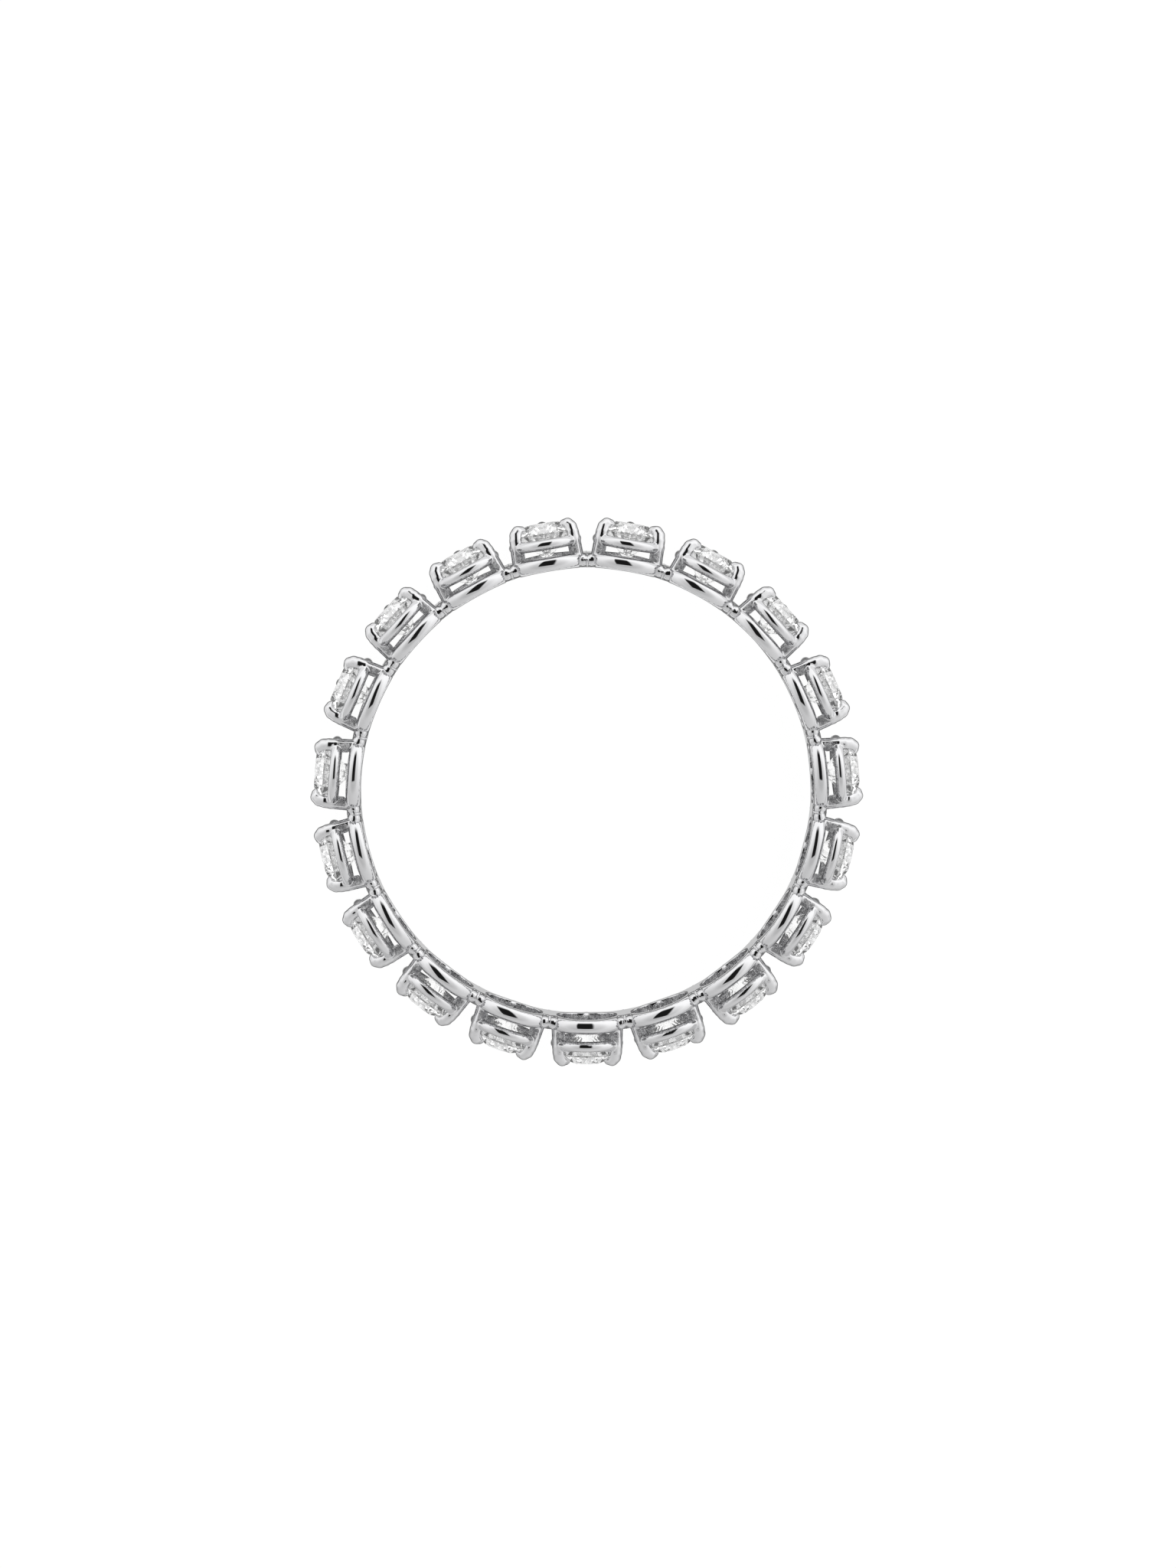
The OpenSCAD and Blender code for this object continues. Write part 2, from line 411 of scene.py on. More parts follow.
@dataclass(frozen=True)
class CellNet:
    """A grid over one basket and half a link on both sides, in which the metal's skin is found.

    The grid's first place along the ring is its last one on the copy before, so that turned copies
    of the skin close into one. Angles are in radians, and the other places in millimetres.
    """

    around: Array
    across: Array
    outward: Array

    def skin(self, metal: "Casting") -> tuple[Array, Array]:
        """Finds the metal's skin in the cell.

        Args:
            metal: The casting whose distances are asked for.

        Returns:
            The skin's points (along, height, across) in millimetres, and its faces of four points each.
            A point number that is past the last one means the same point on the copy before.
        """
        angle, z, radius = np.meshgrid(self.around, self.across, self.outward, indexing="ij")
        distance = metal.bulk(radius * np.sin(angle), radius * np.cos(angle), z)
        distance[-1] = distance[0]
        inside = distance < 0
        mean, found, cuts = self.crossings(np.stack([angle, z, radius], axis=-1), distance)
        angle, z, radius = mean.T
        points = np.stack([radius * np.sin(angle), radius * np.cos(angle), z], axis=-1)

        count = len(points)
        number = np.full(found.shape, -1)
        number[found] = np.arange(count)
        before = np.where(number[-1:] >= 0, number[-1:] + count, -1)
        ringed = np.concatenate([before, number])
        faces = [
            self.facing(cuts[0][:, 1:-1, 1:-1], inside[:-1, 1:-1, 1:-1],
                        (number[:, :-1, :-1], number[:, 1:, :-1], number[:, 1:, 1:], number[:, :-1, 1:])),
            self.facing(cuts[1][:-1, :, 1:-1], inside[:-1, :-1, 1:-1],
                        (ringed[:-1, :, :-1], ringed[:-1, :, 1:], ringed[1:, :, 1:], ringed[1:, :, :-1])),
            self.facing(cuts[2][:-1, 1:-1, :], inside[:-1, 1:-1, :-1],
                        (ringed[:-1, :-1], ringed[1:, :-1], ringed[1:, 1:], ringed[:-1, 1:])),
        ]
        return points, np.concatenate(faces)

    @staticmethod
    def crossings(place: Array, distance: Array) -> tuple[Array, Array, list[Array]]:
        """Finds where the skin cuts the grid's edges.

        Args:
            place: The grid's places (angle, across, outward).
            distance: The distance to the metal at each of them.

        Returns:
            The mean of the cuts round each box that has some, which boxes these are, and which edges
            along each of the three directions are cut.
        """
        inside = distance < 0
        boxes = tuple(n - 1 for n in distance.shape)
        total = np.zeros((*boxes, 3))
        hits = np.zeros(boxes)
        cuts = []
        for axis in range(3):
            low = tuple(slice(0, -1) if i == axis else slice(None) for i in range(3))
            high = tuple(slice(1, None) if i == axis else slice(None) for i in range(3))
            cut = inside[low] != inside[high]
            share = np.where(cut, distance[low] / np.where(cut, distance[low] - distance[high], 1.0), 0.0)
            point = (place[low] + share[..., None] * (place[high] - place[low])) * cut[..., None]
            others = [i for i in range(3) if i != axis]
            for first, second in ((0, 0), (0, 1), (1, 0), (1, 1)):
                shift = {others[0]: first, others[1]: second, axis: 0}
                part = tuple(slice(shift[i], boxes[i] + shift[i]) for i in range(3))
                total += point[part]
                hits += cut[part]
            cuts.append(cut)
        found = hits > 0
        return total[found] / hits[found][:, None], found, cuts

    @staticmethod
    def facing(cut: Array, inside: Array, corners: tuple[Array, Array, Array, Array]) -> Array:
        """Makes a face across each cut edge of the grid.

        Args:
            cut: Which edges the skin cuts.
            inside: Which of those edges start inside the metal.
            corners: The numbers of the four points round each edge.

        Returns:
            The faces, each turned so that it looks out of the metal.
        """
        faces = np.stack([corner[cut] for corner in corners], axis=-1)
        turned = ~inside[cut]
        faces[turned] = faces[turned][:, ::-1]
        return faces


@dataclass(frozen=True)
class PolishReach:
    """Where polishing tools stop reaching, as pairs between which polish fades into rough skin.

    Attributes:
        over_bore: Height over the bore, in millimetres.
        over_base: Height over the top of the base band.
        off_rail: Distance from the rail.
        over_rail: Height over the middle of the rail.
        past_loop: Place along the band, from the end of a loop.
        loop_in: How much a loop's wall looks at the basket's axis, as a cosine.
        loop_up: How much a loop's top looks away from the ring's axis.
        leg_in: How much a claw's leg looks at the basket's axis.
        rail_in: How much the rail looks at the basket's axis.
        rail_down: How much the rail looks at the ring's axis.
    """

    over_bore: Limits = (0.05, 0.1)
    over_base: Limits = (-0.02, 0.04)
    off_rail: Limits = (0.01, 0.04)
    over_rail: Limits = (0.0, 0.05)
    past_loop: Limits = (-0.05, 0.0)
    loop_in: Limits = (-0.15, 0.15)
    loop_up: Limits = (0.93, 0.99)
    leg_in: Limits = (-0.96, -0.72)
    rail_in: Limits = (0.0, 0.3)
    rail_down: Limits = (0.42, 0.58)


@dataclass(frozen=True)
class Casting:
    """The ring's metal: base band, rails and claws, cast in one piece. Sizes are in millimetres.

    Attributes:
        gauge: Sizes of the stones.
        band: The base band.
        rail: The rail of one basket.
        claws: The claws of one basket.
        reach: Where it is polished.
        seat_gap: Gap between the metal and a stone.
        fillet: Reach of the fillets between rail, claws and base.
        seat_edge: Reach of the rounding round a stone's seat.
        hole_edge: Reach of the rounding where a hole cuts the claws' feet.
        places: How many places the net has around, across and outwards.
        bunching: How much closer they lie near the ribs.
        span_across: What the net spans across the band.
        span_outward: What it spans from the ring's axis.
        most_triangles: How many triangles the mesh may have.
        feeler: Step over which a growth is measured.
        least_steepness: Least squared growth that is divided by.
        most_shift: Longest move of a point onto the skin.
        shifts: How often it is moved.
    """

    gauge: StoneGauge
    band: BaseBand
    rail: GalleryRail = GalleryRail()
    claws: tuple[Claw, ...] = (
        Claw(ClawPlace.FRONT_LEFT),
        Claw(ClawPlace.FRONT_RIGHT),
        Claw(ClawPlace.BACK, drop=0.06, fanned=False),
    )
    reach: PolishReach = PolishReach()
    seat_gap: float = 0.005
    fillet: float = 0.03
    seat_edge: float = 0.02
    hole_edge: float = 0.04
    places: tuple[int, int, int] = (85, 76, 50)
    bunching: float = 0.6
    span_across: Limits = (-1.60, 1.48)
    span_outward: Limits = (8.5, 10.56)
    most_triangles: int = 194000
    feeler: float = 1e-4
    least_steepness: float = 0.2
    most_shift: float = 0.04
    shifts: int = 3

    def bulk(self, t: Array, h: Array, z: Array) -> Array:
        """Measures the distance to the metal of one cell.

        Args:
            t: Place along the band from the basket's axis.
            h: Height above the ring's axis.
            z: Place across the band.

        Returns:
            The distances, below zero inside the metal.
        """
        basket = self.rail.bulk(t, h, z)
        for claw in self.claws:
            basket = merged(basket, claw.bulk(t, h, z), self.fillet)
        basket = carved(basket, self.gauge.bulk(t, h, z) - self.seat_gap, self.seat_edge)
        below = h - (self.band.bore_r + self.band.thick)
        basket = carved(basket, np.maximum(self.band.hole.bulk(t, z), below), self.hole_edge)
        return merged(self.band.bulk(t, h, z), basket, self.fillet)

    def slope(self, points: Array) -> Array:
        """Measures which way the distance grows.

        Args:
            points: Places in the cell (along, height, across), in millimetres.

        Returns:
            The growth along each direction at each place.
        """
        columns = []
        for axis in range(3):
            shift = np.zeros(3)
            shift[axis] = self.feeler
            more, less = (points + shift).T, (points - shift).T
            columns.append((self.bulk(*more) - self.bulk(*less)) / (2 * self.feeler))
        return np.stack(columns, axis=-1)

    def settled(self, points: Array) -> Array:
        """Moves points the short way onto the metal's skin.

        Args:
            points: Places in the cell close to the skin, in millimetres.

        Returns:
            The same points on the skin.
        """
        for _ in range(self.shifts):
            slope = self.slope(points)
            steep = np.maximum((slope * slope).sum(-1), self.least_steepness)
            shift = np.clip(self.bulk(*points.T) / steep, -self.most_shift, self.most_shift)
            points = points - shift[:, None] * slope
        return points

    def net(self) -> CellNet:
        """Spaces the grid: finer near the rib between two baskets.

        Returns:
            The grid of one cell.
        """
        around, across, outward = self.places
        even = np.linspace(-0.5, 0.5, around)
        bunched = even + self.bunching * np.sin(2 * np.pi * even) / (2 * np.pi)
        return CellNet(
            bunched * 2 * math.pi / self.band.count,
            np.linspace(*self.span_across, across),
            np.linspace(*self.span_outward, outward),
        )

    def cast_skin(self, points: Array, normals: Array) -> Array:
        """Tells where the metal keeps its rough skin from casting, as polishing tools can't reach there.

        Args:
            points: Places on the skin of a cell (along, height, across), in millimetres.
            normals: Which way the skin looks there.

        Returns:
            1 where the skin is rough, 0 where it is polished.
        """
        t, h, z = points.T
        reach = self.reach
        outward = np.hypot(t, h)
        inward = -(normals[:, 0] * t + normals[:, 2] * z) / np.maximum(np.hypot(t, z), LEAST_RADIUS)
        upward = (normals[:, 0] * t + normals[:, 1] * h) / outward
        over_bore = eased(outward - self.band.bore_r, *reach.over_bore)
        base = 1.0 - eased(outward - self.band.bore_r - self.band.thick, *reach.over_base)
        rail = 1.0 - eased(self.rail.bulk(t, h, z), *reach.off_rail)
        legs = (1.0 - base) * (1.0 - rail) * (1.0 - eased(h - self.rail.height, *reach.over_rail))
        in_basket = 1.0 - eased(np.abs(t) - self.band.loop_half_l, *reach.past_loop)
        return np.maximum.reduce([
            eased(inward, *reach.loop_in) * over_bore * base,
            eased(upward, *reach.loop_up) * base * in_basket,
            eased(inward, *reach.leg_in) * legs,
            eased(inward, *reach.rail_in) * rail,
            eased(-upward, *reach.rail_down) * rail,
        ])

    def build(self, name: str) -> bpy.types.Object:
        """Builds the casting's mesh.

        Args:
            name: Name of the piece.

        Returns:
            The piece, with its true normals and a "cast" value at each point.
        """
        points, faces = self.net().skin(self)
        count = len(points)
        step = 2 * math.pi / self.band.count
        whole_points = np.concatenate([self.turned(points, k * step) for k in range(self.band.count)])
        whole_faces = np.concatenate([
            faces % count + count * ((k - (faces >= count)) % self.band.count) for k in range(self.band.count)
        ])
        fine = bpy.data.meshes.new(f"{name}_fine")
        fine.from_pydata((whole_points * MM).tolist(), [], whole_faces.tolist())
        piece = bpy.data.objects.new(name, fine)
        bpy.context.scene.collection.objects.link(piece)
        thin = piece.modifiers.new("thin", "DECIMATE")
        thin.ratio = min(1.0, self.most_triangles / (2 * len(whole_faces)))
        thin.use_collapse_triangulate = True
        ready = piece.evaluated_get(bpy.context.evaluated_depsgraph_get())
        mesh = bpy.data.meshes.new_from_object(ready)
        piece.modifiers.clear()
        piece.data = mesh
        mesh.name = name
        bpy.data.meshes.remove(fine)
        self.finish_skin(mesh)
        return piece

    def finish_skin(self, mesh: bpy.types.Mesh) -> None:
        """Puts each point of the mesh exactly on the skin, with its normal and its "cast" value.

        Args:
            mesh: The casting's mesh, in metres.
        """
        flat = np.empty(len(mesh.vertices) * 3)
        mesh.vertices.foreach_get("co", flat)
        places = flat.reshape(-1, 3) / MM
        step = 2 * math.pi / self.band.count
        turn = np.arctan2(places[:, 1], places[:, 0]) - FIRST_TURN
        cell = np.round(turn / step) * step
        angle, radius = turn - cell, np.hypot(places[:, 0], places[:, 1])
        local = np.stack([radius * np.sin(angle), radius * np.cos(angle), places[:, 2]], axis=-1)
        local = self.settled(local)
        slope = self.slope(local)
        normals = slope / np.linalg.norm(slope, axis=-1)[:, None]
        mesh.vertices.foreach_set("co", (self.turned(local, cell) * MM).ravel())
        mesh.polygons.foreach_set("use_smooth", np.ones(len(mesh.polygons), bool))
        mesh.normals_split_custom_set_from_vertices(self.turned(normals, cell).tolist())
        cast = mesh.attributes.new("cast", "FLOAT", "POINT")
        cast.data.foreach_set("value", self.cast_skin(local, normals).astype(np.float32))
        mesh.update()

    def dress(self, metal: bpy.types.Object, gold: bpy.types.Material) -> None:
        """Gives the casting its material and says which solid it stands for.

        Args:
            metal: The casting.
            gold: Its material.
        """
        metal.data.materials.clear()
        metal.data.materials.append(gold)
        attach(metal, "root")
        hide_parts("setting")

    @staticmethod
    def turned(local: Array, turn: float | Array) -> Array:
        """Turns places or directions of the first cell to their place round the ring.

        Args:
            local: Values (along, height, across) in the first cell.
            turn: Angle from the first cell, in radians.

        Returns:
            The same values as x, y and z.
        """
        cos, sin = np.cos(FIRST_TURN + turn), np.sin(FIRST_TURN + turn)
        t, h, z = local.T
        return np.stack([h * cos - t * sin, h * sin + t * cos, z], axis=-1)


@dataclass(frozen=True)
class StoneRow:
    """The stones round the ring, which are the solids themselves."""

    names: tuple[str, ...]

    @classmethod
    def found(cls) -> "StoneRow":
        """Finds the stones' solids, in their order round the ring."""
        return cls(tuple(sorted(name for name in frame["nodes"] if name.startswith("stone_"))))

    def dress(self, diamond: bpy.types.Material) -> None:
        """Gives every stone its material.

        Args:
            diamond: The material.
        """
        for name in self.names:
            for slot in frame["nodes"][name].material_slots:
                slot.material = diamond


class NodeWeb:
    """A shader node tree while it is being wired."""

    def __init__(self, tree: bpy.types.NodeTree) -> None:
        """Starts with the tree emptied."""
        tree.nodes.clear()
        self.tree = tree

    def add(self, kind: str, settings: dict[str, object] | None = None, **inputs: object) -> bpy.types.Node:
        """Adds a node.

        Args:
            kind: Blender's name for the kind of node.
            settings: Values of the node's own properties.
            inputs: Values or sockets for its inputs, with _ for each space in a name.

        Returns:
            The new node.
        """
        node = self.tree.nodes.new(kind)
        for key, value in (settings or {}).items():
            setattr(node, key, value)
        for key, value in inputs.items():
            self.feed(node.inputs[key.replace("_", " ")], value)
        return node

    def feed(self, target: Socket, value: object) -> None:
        """Sets a socket, or links another one to it.

        Args:
            target: The socket that is fed.
            value: A plain value, or the socket that it comes from.
        """
        if isinstance(value, Socket):
            self.tree.links.new(value, target)
        else:
            target.default_value = value

    def math(self, operation: str, a: object, b: object = 0.0) -> Socket:
        """Adds a sum with numbers.

        Args:
            operation: Blender's name of the sum.
            a: First value or socket.
            b: Second value or socket.

        Returns:
            The sum's result.
        """
        node = self.add("ShaderNodeMath", {"operation": operation})
        self.feed(node.inputs[0], a)
        self.feed(node.inputs[1], b)
        return node.outputs["Value"]

    def product(self, first: object, *others: object) -> Socket:
        """Multiplies numbers.

        Args:
            first: First value or socket.
            others: The other values or sockets.

        Returns:
            Their product.
        """
        for other in others:
            first = self.math("MULTIPLY", first, other)
        return first

    def vector(self, operation: str, a: object, b: object = (0.0, 0.0, 0.0)) -> Socket:
        """Adds a sum with vectors.

        Args:
            operation: Blender's name of the sum.
            a: First vector or socket.
            b: Second vector or socket.

        Returns:
            The sum's result: a number for a dot product, else a vector.
        """
        node = self.add("ShaderNodeVectorMath", {"operation": operation})
        self.feed(node.inputs[0], a)
        self.feed(node.inputs[1], b)
        return node.outputs["Value" if operation == "DOT_PRODUCT" else "Vector"]

    def ramp(self, value: object, low: float, high: float, start: object = 0.0, end: object = 1.0) -> Socket:
        """Adds a smooth rise from one value to another.

        Args:
            value: The socket that is read.
            low: Where the rise begins.
            high: Where it ends.
            start: The result before the rise.
            end: The result after it.

        Returns:
            The eased result.
        """
        node = self.add("ShaderNodeMapRange", {"interpolation_type": "SMOOTHSTEP"})
        inputs = {"Value": value, "From Min": low, "From Max": high, "To Min": start, "To Max": end}
        for key, item in inputs.items():
            self.feed(node.inputs[key], item)
        return node.outputs["Result"]

    def blend(self, share: object, a: object, b: object) -> Socket:
        """Mixes two colours.

        Args:
            share: How much of the second colour there is.
            a: First colour or socket.
            b: Second colour or socket.

        Returns:
            The mixed colour.
        """
        node = self.add("ShaderNodeMix", {"data_type": "RGBA"})
        self.feed(node.inputs["Factor"], share)
        self.feed(node.inputs[MIX_A], a)
        self.feed(node.inputs[MIX_B], b)
        return node.outputs[MIX_RESULT]


@dataclass(frozen=True)
class Grain:
    """The fine random grain of a surface that no polishing tool has reached.

    Attributes:
        name: Name of its node group.
        seed: Which of the random patterns it takes.
        usual_size: Size of one grain if none is given, in millimetres.
        fine_detail: How many finer layers the grain has.
        fine_rough: How strong these are.
        fine_share: Its share in the tone.
        broad_scale: Scale of the broad mottling, against the grain's.
        broad_detail: How many finer layers it has.
        broad_share: Its share in the tone.
        tone: Values between which dark passes into light.
    """

    name: str = "fine_grain"
    seed: float = 4.0
    usual_size: float = 0.08
    fine_detail: float = 3.0
    fine_rough: float = 0.6
    fine_share: float = 0.6
    broad_scale: float = 0.35
    broad_detail: float = 1.0
    broad_share: float = 0.4
    tone: Limits = (0.38, 0.62)

    def group(self) -> bpy.types.NodeTree:
        """Builds the grain once, as a group with its size as an input.

        Returns:
            The group, which puts out a height and a tone.
        """
        made = bpy.data.node_groups.get(self.name)
        if made is not None:
            return made
        tree = bpy.data.node_groups.new(self.name, "ShaderNodeTree")
        web = NodeWeb(tree)
        size = tree.interface.new_socket(name="Size", in_out="INPUT", socket_type="NodeSocketFloat")
        size.default_value = self.usual_size * MM
        tree.interface.new_socket(name="Height", in_out="OUTPUT", socket_type="NodeSocketFloat")
        tree.interface.new_socket(name="Tone", in_out="OUTPUT", socket_type="NodeSocketFloat")
        given = web.add("NodeGroupInput")
        result = web.add("NodeGroupOutput")
        place = web.add("ShaderNodeTexCoord").outputs["Object"]
        scale = web.math("DIVIDE", 1.0, given.outputs["Size"])
        fine = web.add(
            "ShaderNodeTexNoise", {"noise_dimensions": "4D"},
            Vector=place,
            W=self.seed,
            Scale=scale,
            Detail=self.fine_detail,
            Roughness=self.fine_rough,
        ).outputs["Fac"]
        broad = web.add(
            "ShaderNodeTexNoise", {"noise_dimensions": "4D"},
            Vector=place,
            W=self.seed,
            Scale=web.product(scale, self.broad_scale),
            Detail=self.broad_detail,
        ).outputs["Fac"]
        tone = web.math("ADD", web.product(fine, self.fine_share), web.product(broad, self.broad_share))
        web.feed(result.inputs["Height"], fine)
        web.feed(result.inputs["Tone"], web.ramp(tone, *self.tone))
        return tree

    def placed(self, web: NodeWeb, size: float) -> bpy.types.Node:
        """Places the grain in a material.

        Args:
            web: The material's nodes.
            size: Size of one grain, in millimetres.

        Returns:
            The group's node.
        """
        return web.add("ShaderNodeGroup", {"node_tree": self.group()}, Size=size * MM)


@dataclass(frozen=True)
class WhiteGold:
    """White gold: bright and mirror-like where it is polished, grey and grainy where it isn't, with painted
    light where it is seen through a stone.

    Attributes:
        grain: The grain of its rough skin.
        polished: Colour where it is polished.
        cast_dark: Darkest colour of the rough skin.
        cast_light: Lightest colour of the rough skin.
        painted_light_in_stone: Colour where it is seen through a stone, a painted brightening.
        painted_glow_in_stone: How much it glows there, a painted glow standing in for the light that stones
            send back.
        polished_rough: Roughness where it is polished.
        cast_rough: Roughness of the rough skin.
        grain_size: Size of one grain, in millimetres.
        grain_depth: How deep the grain is, in millimetres.
        raggedness: How ragged the grain makes the edge of the polish.
        ragged_edge: Values of the "cast" mask between which that edge lies.
        clean: Values of the mask between which any grain begins.
    """

    grain: Grain
    polished: Colour = (0.775, 0.775, 0.785)
    cast_dark: Colour = (0.26, 0.26, 0.27)
    cast_light: Colour = (0.72, 0.72, 0.73)
    painted_light_in_stone: Colour = (0.97, 0.97, 0.97)
    painted_glow_in_stone: float = 0.2
    polished_rough: float = 0.04
    cast_rough: float = 0.25
    grain_size: float = 0.05
    grain_depth: float = 0.03
    raggedness: float = 0.5
    ragged_edge: Limits = (0.35, 0.6)
    clean: Limits = (0.0, 0.12)

    def material(self) -> bpy.types.Material:
        """Makes the metal's material.

        Returns:
            The material.
        """
        made = bpy.data.materials.new("white_gold")
        made.use_nodes = True
        web = NodeWeb(made.node_tree)
        mask = web.add("ShaderNodeAttribute", {"attribute_name": "cast"}).outputs["Fac"]
        grain = self.grain.placed(web, self.grain_size)
        uneven = web.product(web.math("SUBTRACT", grain.outputs["Tone"], 0.5), self.raggedness)
        ragged = web.ramp(web.math("ADD", mask, uneven), *self.ragged_edge)
        mask = web.product(ragged, web.ramp(mask, *self.clean))
        cast = web.blend(grain.outputs["Tone"], (*self.cast_dark, 1.0), (*self.cast_light, 1.0))
        bump = web.add(
            "ShaderNodeBump",
            Strength=mask,
            Distance=self.grain_depth * MM,
            Height=grain.outputs["Height"],
        )
        # Painted light: seen through a stone, the metal turns near white and glows, standing in for light the
        # stones send back.
        painted_light_mask = web.add("ShaderNodeLightPath").outputs["Is Transmission Ray"]
        tone = web.blend(mask, (*self.polished, 1.0), cast)
        surface = web.add(
            "ShaderNodeBsdfPrincipled",
            Base_Color=web.blend(painted_light_mask, tone, (*self.painted_light_in_stone, 1.0)),
            Roughness=web.ramp(mask, 0.0, 1.0, self.polished_rough, self.cast_rough),
            Metallic=1.0,
            Normal=bump.outputs["Normal"],
            Emission_Color=(*self.painted_light_in_stone, 1.0),
            Emission_Strength=web.product(painted_light_mask, self.painted_glow_in_stone),
        )
        web.add("ShaderNodeOutputMaterial", Surface=surface.outputs["BSDF"])
        return made


@dataclass(frozen=True)
class ClearStone:
    """A colourless diamond: polished facets, a finely ground girdle and a faint painted glow.

    Attributes:
        grain: The grain of its girdle.
        ior: How strongly it bends light.
        girdle_rough: Roughness of the girdle.
        girdle_lean: Cosines to the stone's axis between which girdle passes into facet.
        grain_size: Size of one grain on the girdle, in millimetres.
        least_grain: Share of that roughness on its smoothest spots.
        painted_inner_glow: A faint painted glow, standing in for light that bounces on inside.
    """

    grain: Grain
    ior: float = 2.42
    girdle_rough: float = 0.25
    girdle_lean: Limits = (0.25, 0.35)
    grain_size: float = 0.03
    least_grain: float = 0.5
    painted_inner_glow: float = 0.02

    def material(self) -> bpy.types.Material:
        """Makes the stones' material.

        The stones' axes all meet on the ring's axis, so the way outwards from it is each stone's own axis.

        Returns:
            The material.
        """
        made = bpy.data.materials.new("clear_diamond")
        made.use_nodes = True
        web = NodeWeb(made.node_tree)
        normal = web.add("ShaderNodeNewGeometry").outputs["True Normal"]
        place = web.add("ShaderNodeTexCoord").outputs["Object"]
        outward = web.vector("NORMALIZE", web.vector("MULTIPLY", place, (1.0, 1.0, 0.0)))
        lean = web.math("ABSOLUTE", web.vector("DOT_PRODUCT", normal, outward))
        girdle = web.ramp(lean, *self.girdle_lean, 1.0, 0.0)
        grain = self.grain.placed(web, self.grain_size)
        uneven = web.ramp(grain.outputs["Tone"], 0.0, 1.0, self.least_grain, 1.0)
        surface = web.add(
            "ShaderNodeBsdfPrincipled",
            Base_Color=(1.0, 1.0, 1.0, 1.0),
            Roughness=web.product(girdle, uneven, self.girdle_rough),
            IOR=self.ior,
            Transmission_Weight=1.0,
            # Painted light: a faint glow all over the stone, standing in for light bouncing inside it.
            Emission_Color=(1.0, 1.0, 1.0, 1.0),
            Emission_Strength=self.painted_inner_glow,
        )
        web.add("ShaderNodeOutputMaterial", Surface=surface.outputs["BSDF"])
        return made


@dataclass(frozen=True)
class Shot:
    """The camera's place over the ring, as in the photograph.

    Attributes:
        tilt: Its angle towards the picture's top, in radians.
        swing: Its angle towards the left.
        distance: Distance to the ring's middle.
        pixel: Size of the photograph's pixel at the ring's middle.
        centre_x: The ring's middle in the photograph, in pixels from the left.
        centre_y: The same in pixels from the top.
        sensor: Width of the sensor, in the camera's millimetres.
        clip: Nearest and farthest distance that it sees, in metres.
    """

    tilt: float = 0.096
    swing: float = 0.028
    distance: float = 190.0 * MM
    pixel: float = 0.02915 * MM
    centre_x: float = 766.5
    centre_y: float = 1035.0
    sensor: float = 36.0
    clip: Limits = (0.01, 10.0)

    @property
    def back(self) -> Vector:
        """Points from the ring to the camera."""
        cos = math.cos(self.tilt)
        return Vector((-math.sin(self.swing) * cos, math.sin(self.tilt), math.cos(self.swing) * cos))

    @property
    def right(self) -> Vector:
        """Points to the right of the picture."""
        return Vector((math.cos(self.swing), 0.0, math.sin(self.swing)))

    @property
    def up(self) -> Vector:
        """Points to the top of the picture."""
        return self.back.cross(self.right)

    def build(self) -> bpy.types.Object:
        """Sets up the camera.

        Returns:
            The camera.
        """
        data = bpy.data.cameras.new("camera")
        data.sensor_fit = "AUTO"
        data.sensor_width = self.sensor
        data.lens = self.sensor * self.distance / (self.pixel * PHOTO_H)
        data.clip_start, data.clip_end = self.clip
        camera = bpy.data.objects.new("camera", data)
        aim = self.right * (PHOTO_W / 2 - self.centre_x) * self.pixel
        aim = aim + self.up * (self.centre_y - PHOTO_H / 2) * self.pixel
        turn = Matrix((self.right, self.up, self.back)).transposed()
        camera.matrix_world = Matrix.Translation(aim + self.back * self.distance) @ turn.to_4x4()
        bpy.context.scene.collection.objects.link(camera)
        bpy.context.scene.camera = camera
        return camera


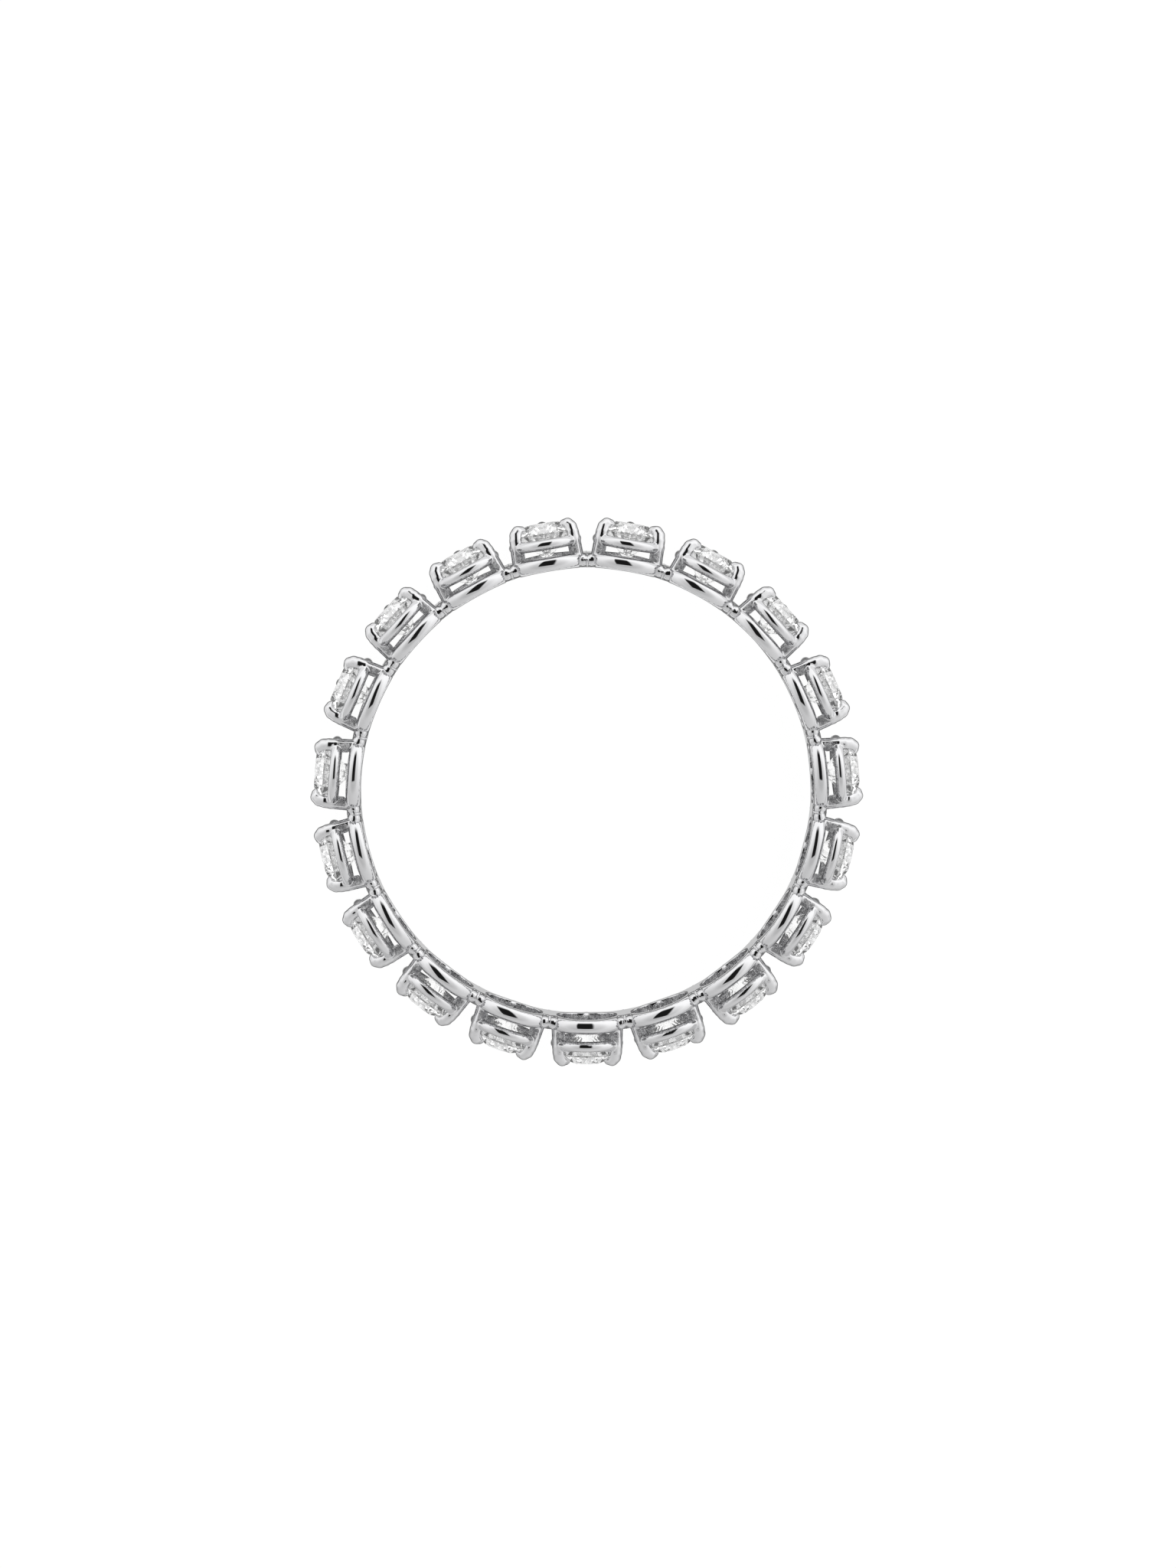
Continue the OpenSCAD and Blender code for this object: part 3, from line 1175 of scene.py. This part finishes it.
@dataclass(frozen=True)
class Studio:
    """A bright white tent with a black card round the lens, over a pale lit floor.

    Directions are cosines to the right and to the top of the picture and to the lens, and the
    card's edges are tangents of the angle from the lens. In the metal's reflections the floor's
    brightness follows the slant of the ray: 0 where it meets it squarely, 1 where it grazes it.
    There the floor is painted darker, as painted shade that stands in for the ring's shadow on it.

    Attributes:
        shot: The camera that the studio stands round.
        upper: Brightness of the tent at the top.
        lower: Brightness at the bottom.
        passage: Where upwards the one passes into the other.
        sideways: How much brighter the right is than the middle.
        near_lens: Share of the brightness that is left round the lens.
        lens_cone: Where towards the lens the rest is lost.
        card: Brightness of the card.
        card_in_stones: The same as seen through a stone.
        gain_in_stones: How much brighter the tent is seen through a stone.
        card_left: Where the card begins on the left.
        card_right: Where it ends on the right.
        card_low: Where it begins at the bottom.
        card_high: Where it ends at the top.
        card_front: Where towards the lens it begins.
        least_front: Least cosine to the lens that is divided by.
        floor_half: Half of the floor's width.
        floor_tone: Its colour.
        floor_rough: Its roughness.
        floor_glow: Its brightness in the picture.
        painted_shade_straight: Its brightness in reflections, to square rays, as painted shade.
        painted_shadow_under: The same to slanted rays, the darkest painted shadow under the ring.
        painted_shade_below: The same to grazing rays, below the ring in the picture, darker as painted shade.
        floor_beside: The same to grazing rays elsewhere.
        painted_shade_rise: Place upwards in the picture where these two meet.
        square: Slants between which square passes into slanted.
        grazing: Slants between which slanted passes into grazing.
    """

    shot: Shot
    upper: float = 1.2
    lower: float = 0.72
    passage: Limits = (-0.85, 0.75)
    sideways: float = 0.09
    near_lens: float = 0.76
    lens_cone: Limits = (0.5, 0.87)
    card: float = 0.012
    card_in_stones: float = 0.35
    gain_in_stones: float = 1.8
    card_left: Limits = (-0.47, -0.40)
    card_right: Limits = (0.23, 0.38)
    card_low: Limits = (-0.44, -0.34)
    card_high: Limits = (0.85, 1.7)
    card_front: Limits = (0.02, 0.1)
    least_front: float = 0.001
    floor_half: float = 400.0 * MM
    floor_tone: Colour = (0.12, 0.12, 0.12)
    floor_rough: float = 0.9
    floor_glow: float = 0.95
    painted_shade_straight: float = 0.58
    painted_shadow_under: float = 0.13
    painted_shade_below: float = 0.52
    floor_beside: float = 0.86
    painted_shade_rise: Limits = (-10.4 * MM, -7.5 * MM)
    square: Limits = (0.02, 0.05)
    grazing: Limits = (0.3, 0.6)

    def tent(self) -> None:
        """Lights the scene from all round."""
        world = bpy.data.worlds.new("tent")
        world.use_nodes = True
        web = NodeWeb(world.node_tree)
        way = web.add("ShaderNodeTexCoord").outputs["Generated"]
        axes = (self.shot.right, self.shot.up, self.shot.back)
        right, up, front = (web.vector("DOT_PRODUCT", way, tuple(axis)) for axis in axes)
        card = self.card_share(web, right, up, front)
        through = web.add("ShaderNodeLightPath").outputs["Is Transmission Ray"]
        white = web.ramp(up, *self.passage, self.lower, self.upper)
        white = web.math("ADD", white, web.product(right, self.sideways))
        white = web.product(white, web.ramp(front, *self.lens_cone, 1.0, self.near_lens))
        white = web.product(white, web.ramp(through, 0.0, 1.0, 1.0, self.gain_in_stones))
        black = web.ramp(through, 0.0, 1.0, self.card, self.card_in_stones)
        free = web.math("SUBTRACT", 1.0, card)
        light = web.math("ADD", web.product(white, free), web.product(card, black))
        glow = web.add("ShaderNodeBackground", Color=(1.0, 1.0, 1.0, 1.0), Strength=light)
        web.add("ShaderNodeOutputWorld", Surface=glow.outputs["Background"])
        bpy.context.scene.world = world

    def card_share(self, web: NodeWeb, right: Socket, up: Socket, front: Socket) -> Socket:
        """Tells where the black card hangs.

        Args:
            web: The world's nodes.
            right: How much a direction points to the right of the picture.
            up: How much it points to its top.
            front: How much it points to the lens.

        Returns:
            1 where the card is, 0 beside it.
        """
        deep = web.math("MAXIMUM", front, self.least_front)
        side = web.math("DIVIDE", right, deep)
        rise = web.math("DIVIDE", up, deep)
        across = web.product(web.ramp(side, *self.card_left), web.ramp(side, *self.card_right, 1.0, 0.0))
        upward = web.product(web.ramp(rise, *self.card_low), web.ramp(rise, *self.card_high, 1.0, 0.0))
        return web.product(across, upward, web.ramp(front, *self.card_front))

    def floor(self) -> bpy.types.Object:
        """Lays a pale lit floor under the ring, which carries painted shade in the metal's reflections.

        Returns:
            The floor.
        """
        half, level = self.floor_half, CAD_BOX[0][2]
        corners = [(-half, -half, level), (half, -half, level), (half, half, level), (-half, half, level)]
        mesh = bpy.data.meshes.new("floor")
        mesh.from_pydata(corners, [], [(0, 1, 2, 3)])
        mesh.materials.append(self.floor_paint())
        floor = bpy.data.objects.new("floor", mesh)
        bpy.context.scene.collection.objects.link(floor)
        return floor

    def floor_paint(self) -> bpy.types.Material:
        """Makes the floor's material: even white to the camera, with painted shade in reflections.

        Returns:
            The material.
        """
        paint = bpy.data.materials.new("floor_white")
        paint.use_nodes = True
        web = NodeWeb(paint.node_tree)
        # Painted shade: in reflections the floor glows less where rays meet it squarely or slanted, and below
        # the ring, standing in for the ring's shadow.
        mirrored = web.add("ShaderNodeLightPath").outputs["Is Reflection Ray"]
        place = web.add("ShaderNodeTexCoord").outputs["Object"]
        slant = web.add("ShaderNodeLayerWeight", Blend=0.5).outputs["Facing"]
        upward = web.vector("DOT_PRODUCT", place, (0.0, 1.0, 0.0))
        painted_grazing_shade = web.ramp(upward, *self.painted_shade_rise, self.painted_shade_below, self.floor_beside)
        slanted = web.ramp(slant, *self.square, self.painted_shade_straight, self.painted_shadow_under)
        painted_reflected_shade = web.ramp(slant, *self.grazing, slanted, painted_grazing_shade)
        surface = web.add(
            "ShaderNodeBsdfPrincipled",
            Base_Color=(*self.floor_tone, 1.0),
            Roughness=self.floor_rough,
            Specular_IOR_Level=0.0,
            Emission_Color=(1.0, 1.0, 1.0, 1.0),
            Emission_Strength=web.ramp(mirrored, 0.0, 1.0, self.floor_glow, painted_reflected_shade),
        )
        web.add("ShaderNodeOutputMaterial", Surface=surface.outputs["BSDF"])
        return paint


def main() -> None:
    """Builds the ring's looks in order: metal, stones, light, floor and camera."""
    logging.basicConfig(level=logging.INFO, format="%(name)s: %(message)s")
    stones = StoneRow.found()
    gauge = StoneGauge.measured(stones.names[0])
    bore = next(mount for mount in frame["record"]["mounts"] if mount["kind"] == "bore")
    band = BaseBand(len(stones.names), bore["dims"]["r_mm"], OvalHole())
    grain = Grain()

    casting = Casting(gauge, band)
    metal = casting.build("casting")
    casting.dress(metal, WhiteGold(grain).material())
    LOG.info("casting: %d points, %d faces", len(metal.data.vertices), len(metal.data.polygons))

    stones.dress(ClearStone(grain).material())
    LOG.info("stones: %d, girdle radius %.3f mm", len(stones.names), gauge.girdle_r)

    shot = Shot()
    studio = Studio(shot)
    studio.tent()
    floor = studio.floor()
    LOG.info("floor: %.0f mm wide", floor.dimensions.x / MM)
    camera = shot.build()
    bpy.context.scene.view_settings.view_transform = "Standard"
    LOG.info("camera: lens %.1f mm", camera.data.lens)


if __name__ == "__main__":
    main()
